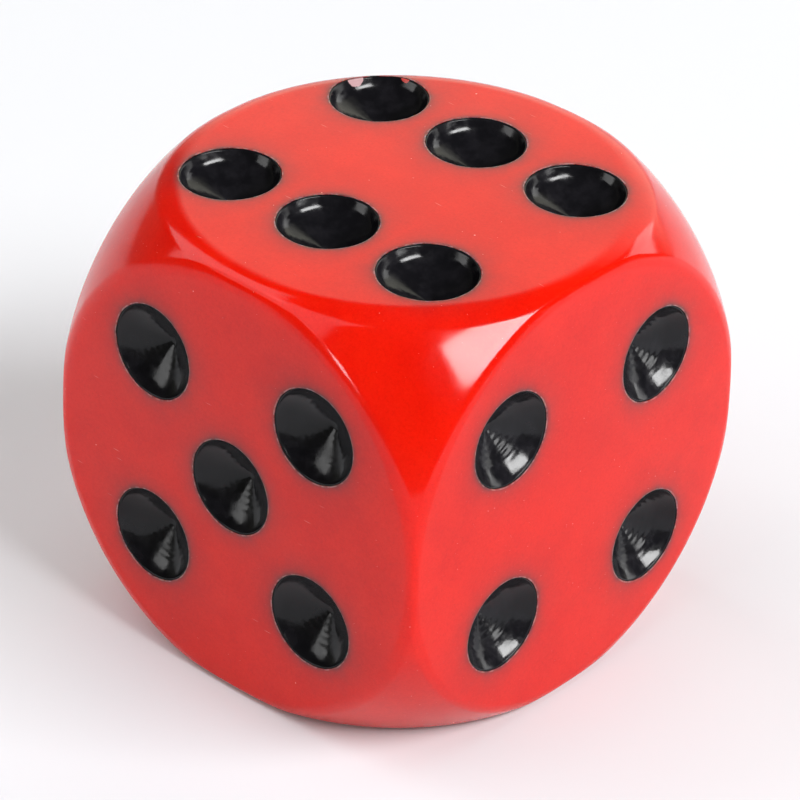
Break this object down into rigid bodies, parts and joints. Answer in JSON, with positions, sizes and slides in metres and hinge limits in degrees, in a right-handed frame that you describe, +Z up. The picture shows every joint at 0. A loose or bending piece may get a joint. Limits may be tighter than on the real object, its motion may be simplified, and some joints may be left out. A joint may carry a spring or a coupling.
{
  "type": "round-cornered spotted die",
  "caption": "Round-cornered gaming die: a cube of glossy red plastic trimmed by a ball, with drilled conical spots lined in black enamel.",
  "frame": {"origin": "middle of the underside, on the face with one spot, which the die rests on", "axes": "+Z up out of the face with six spots, +X out of the face with four, -Y out of the face with five; opposite faces add up to seven"},
  "size_m": [0.016, 0.016, 0.016],
  "materials": {
    "red_plastic": "polished, slightly translucent moulded plastic",
    "black_enamel": "glossy brushed-in enamel over drill marks"
  },
  "bodies": {
    "root": {"die_body": "red_plastic", "one_pip_1": "black_enamel", "two_pip_1": "black_enamel", "two_pip_2": "black_enamel", "three_pip_1": "black_enamel", "three_pip_2": "black_enamel", "three_pip_3": "black_enamel", "four_pip_1": "black_enamel", "four_pip_2": "black_enamel", "four_pip_3": "black_enamel", "four_pip_4": "black_enamel", "five_pip_1": "black_enamel", "five_pip_2": "black_enamel", "five_pip_3": "black_enamel", "five_pip_4": "black_enamel", "five_pip_5": "black_enamel", "six_pip_1": "black_enamel", "six_pip_2": "black_enamel", "six_pip_3": "black_enamel", "six_pip_4": "black_enamel", "six_pip_5": "black_enamel", "six_pip_6": "black_enamel"}
  },
  "joints": []
}
